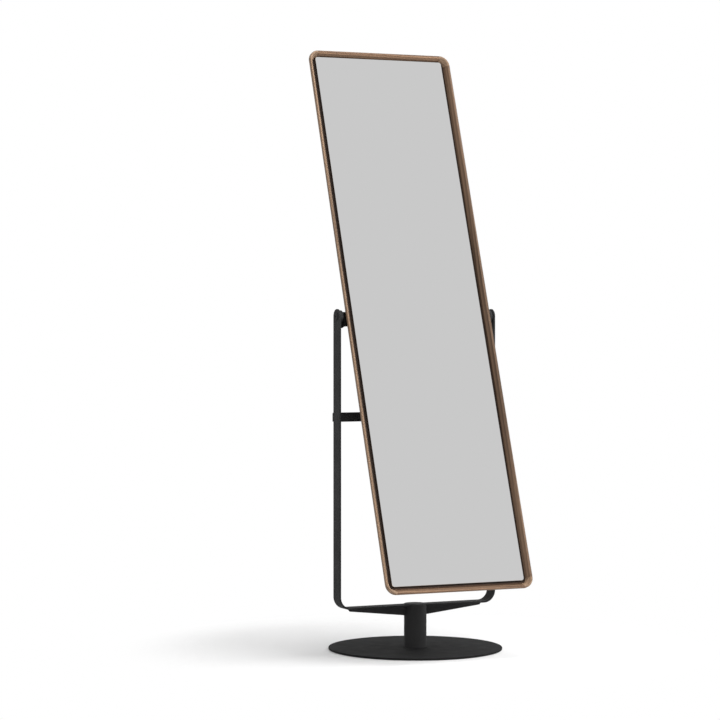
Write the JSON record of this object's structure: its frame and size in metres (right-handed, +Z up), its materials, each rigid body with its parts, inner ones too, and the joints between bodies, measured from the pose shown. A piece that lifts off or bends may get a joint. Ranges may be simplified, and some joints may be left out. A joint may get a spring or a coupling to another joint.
{
  "type": "standing mirror",
  "caption": "Full-length mirror in a rounded wooden frame that tilts on friction pivots between the arms of a flat steel yoke, on a short round column and a round base plate.",
  "frame": {"origin": "on the floor, at the centre of the round base", "axes": "+Z up, +X to the right of someone facing the mirror, +Y from the glass to its back"},
  "size_m": [0.496, 0.5356, 1.7014],
  "materials": {
    "black_steel": "matt black powder coat",
    "zinc_steel": "bright zinc plate",
    "black_plastic": "matt",
    "black_rubber": "matt",
    "floor_sheet": "matt non-slip sheet",
    "walnut": "oiled",
    "corner_wood": "oiled",
    "dowel_wood": "bare",
    "black_board": "painted black",
    "foam_tape": "soft foam",
    "mirror_glass": "silvered"
  },
  "bodies": {
    "stand": {"floor_pad": "floor_sheet", "base_plate": "black_steel", "base_bolts": "zinc_steel", "column_foot": "zinc_steel", "column_tube": "black_steel", "column_cap": "black_steel", "yoke_bar": "black_steel", "gusset_left": "black_steel", "gusset_right": "black_steel", "cross_bar": "black_steel", "pivot_bolt_left": "black_steel", "pivot_spacer_left": "black_plastic", "outer_washer_left": "black_plastic", "inner_washer_left": "black_plastic", "disc_spring_left": "zinc_steel", "lock_nut_left": "zinc_steel", "pivot_bolt_right": "black_steel", "pivot_spacer_right": "black_plastic", "outer_washer_right": "black_plastic", "inner_washer_right": "black_plastic", "disc_spring_right": "zinc_steel", "lock_nut_right": "zinc_steel"},
    "mirror_head": {"stile_left": "walnut", "stile_right": "walnut", "rail_top": "walnut", "rail_bottom": "walnut", "corner_top_left": "corner_wood", "corner_top_right": "corner_wood", "corner_bottom_right": "corner_wood", "corner_bottom_left": "corner_wood", "corner_dowels": "dowel_wood", "back_board": "black_board", "board_screws": "zinc_steel", "glass_tape": "foam_tape", "mirror_glass": "mirror_glass", "pivot_bracket_left": "black_steel", "pivot_bracket_right": "black_steel", "bracket_screws": "zinc_steel", "stop_buffer_left": "black_rubber", "stop_buffer_right": "black_rubber"}
  },
  "joints": [
    {"name": "tilt", "type": "hinge", "parent": "stand", "child": "mirror_head", "pos_m": [0, 0, 0.938], "axis": [1, 0, 0], "range_deg": [-71, 23.3]}
  ]
}
